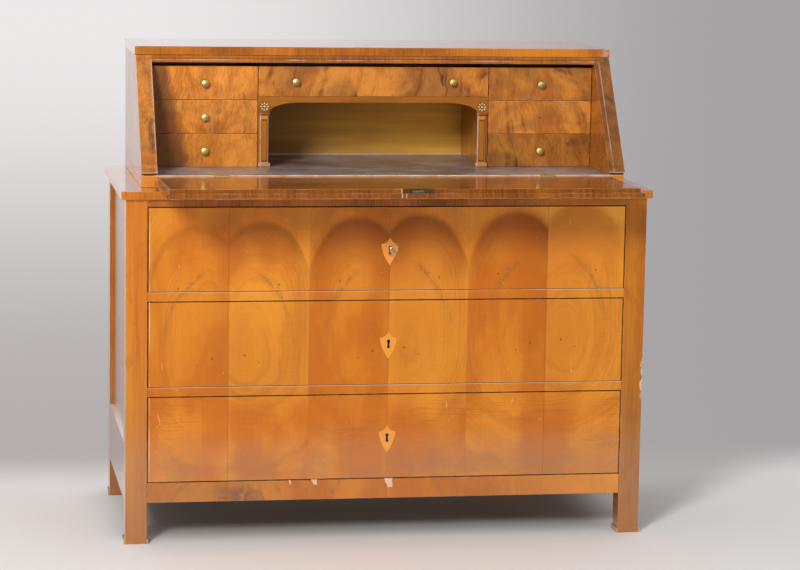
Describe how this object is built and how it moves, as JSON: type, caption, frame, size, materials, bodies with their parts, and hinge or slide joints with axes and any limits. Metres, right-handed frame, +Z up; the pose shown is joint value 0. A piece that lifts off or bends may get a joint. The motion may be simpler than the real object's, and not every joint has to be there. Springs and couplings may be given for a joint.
{
  "type": "slant front secretaire",
  "caption": "Slant-front desk: a chest of long drawers on square posts under a writing case with a hinged fall, fitted small drawers, an open pigeonhole and pilasters.",
  "frame": {"origin": "on the floor, at the middle of the whole desk's width and of its depth with the fall open", "axes": "+X to the right of someone facing the desk's front, +Y from the front to the back, +Z up; the drawer fronts face -Y"},
  "size_m": [1.15, 0.7622, 1.051],
  "materials": {
    "fruitwood": "polished fruitwood",
    "figured_front": "book-matched veneer, french polished",
    "burr_walnut": "burr veneer, french polished",
    "olive_back": "dull dark polish",
    "raw_pine": "bare softwood",
    "maple": "pale inlay, polished",
    "brass": "worn brass",
    "dark_brass": "tarnished brass",
    "gilt": "gilt brass",
    "steel": "dull steel"
  },
  "bodies": {
    "carcase": {"post_front_left": "burr_walnut", "post_front_right": "burr_walnut", "post_back_left": "burr_walnut", "post_back_right": "burr_walnut", "cheek_left": "burr_walnut", "cheek_right": "burr_walnut", "case_top": "burr_walnut", "case_rail": "burr_walnut", "partition_left": "burr_walnut", "partition_right": "burr_walnut", "shelf_apron": "burr_walnut", "side_left": "fruitwood", "side_right": "fruitwood", "bottom_rail": "fruitwood", "divider_lower": "fruitwood", "divider_upper": "fruitwood", "chest_top_rail": "fruitwood", "chest_top": "fruitwood", "bed": "fruitwood", "chest_back": "raw_pine", "case_back": "olive_back", "rosette_left": "gilt", "rosette_right": "gilt", "hinge_fixed_left": "brass", "hinge_fixed_right": "brass"},
    "upper_drawer": {"drawer_upper_front": "figured_front", "drawer_upper_tray": "raw_pine", "drawer_upper_shield": "maple", "drawer_upper_lock": "steel"},
    "middle_drawer": {"drawer_middle_front": "figured_front", "drawer_middle_tray": "raw_pine", "drawer_middle_shield": "maple", "drawer_middle_lock": "steel"},
    "bottom_drawer": {"drawer_bottom_front": "figured_front", "drawer_bottom_tray": "raw_pine", "drawer_bottom_shield": "maple", "drawer_bottom_lock": "steel"},
    "key": {"key": "steel"},
    "upper_bolt": {"upper_bolt": "steel"},
    "fall": {"fall": "burr_walnut", "fall_lock": "dark_brass", "fall_shield": "maple", "hinge_moving_leaf_left": "brass", "hinge_moving_leaf_right": "brass"},
    "fall_bolt": {"fall_bolt": "steel"},
    "centre_small_drawer": {"small_drawer_centre": "burr_walnut", "knob_centre_left": "brass", "knob_centre_right": "brass"},
    "left_lower_small_drawer": {"small_drawer_left_lower": "burr_walnut", "knob_left_lower": "brass"},
    "left_middle_small_drawer": {"small_drawer_left_middle": "burr_walnut", "knob_left_middle": "brass"},
    "left_top_small_drawer": {"small_drawer_left_top": "burr_walnut", "knob_left_top": "brass"},
    "right_lower_small_drawer": {"small_drawer_right_lower": "burr_walnut", "knob_right_lower": "brass"},
    "right_middle_small_drawer": {"small_drawer_right_middle": "burr_walnut"},
    "right_top_small_drawer": {"small_drawer_right_top": "burr_walnut", "knob_right_top": "brass"}
  },
  "joints": [
    {"name": "fall_hinge", "type": "hinge", "parent": "carcase", "child": "fall", "pos_m": [0, -0.09294, 0.7835], "axis": [1, 0, 0], "range_deg": [-125, 0]},
    {"name": "upper_drawer_slide", "type": "slide", "parent": "carcase", "child": "upper_drawer", "axis": [0, -1, 0], "range_m": [0, 0.36]},
    {"name": "middle_drawer_slide", "type": "slide", "parent": "carcase", "child": "middle_drawer", "axis": [0, -1, 0], "range_m": [0, 0.36]},
    {"name": "bottom_drawer_slide", "type": "slide", "parent": "carcase", "child": "bottom_drawer", "axis": [0, -1, 0], "range_m": [0, 0.36]},
    {"name": "key_turn", "type": "hinge", "parent": "upper_drawer", "child": "key", "pos_m": [0, -0.15394, 0.637], "axis": [0, -1, 0], "range_deg": [0, 90]},
    {"name": "upper_bolt_slide", "type": "slide", "parent": "upper_drawer", "child": "upper_bolt", "axis": [0, 0, 1], "range_m": [0, 0.008]},
    {"name": "fall_bolt_slide", "type": "slide", "parent": "fall", "child": "fall_bolt", "axis": [0, -0.9999, 0.014], "range_m": [0, 0.01]},
    {"name": "centre_small_drawer_slide", "type": "slide", "parent": "carcase", "child": "centre_small_drawer", "axis": [0, -1, 0], "range_m": [0, 0.17]},
    {"name": "left_lower_small_drawer_slide", "type": "slide", "parent": "carcase", "child": "left_lower_small_drawer", "axis": [0, -1, 0], "range_m": [0, 0.17]},
    {"name": "left_middle_small_drawer_slide", "type": "slide", "parent": "carcase", "child": "left_middle_small_drawer", "axis": [0, -1, 0], "range_m": [0, 0.17]},
    {"name": "left_top_small_drawer_slide", "type": "slide", "parent": "carcase", "child": "left_top_small_drawer", "axis": [0, -1, 0], "range_m": [0, 0.17]},
    {"name": "right_lower_small_drawer_slide", "type": "slide", "parent": "carcase", "child": "right_lower_small_drawer", "axis": [0, -1, 0], "range_m": [0, 0.17]},
    {"name": "right_middle_small_drawer_slide", "type": "slide", "parent": "carcase", "child": "right_middle_small_drawer", "axis": [0, -1, 0], "range_m": [0, 0.17]},
    {"name": "right_top_small_drawer_slide", "type": "slide", "parent": "carcase", "child": "right_top_small_drawer", "axis": [0, -1, 0], "range_m": [0, 0.17]}
  ],
  "couplings": [
    {"joint": "key_turn", "follows": "upper_bolt_slide", "rad_per_m": 196.35}
  ]
}
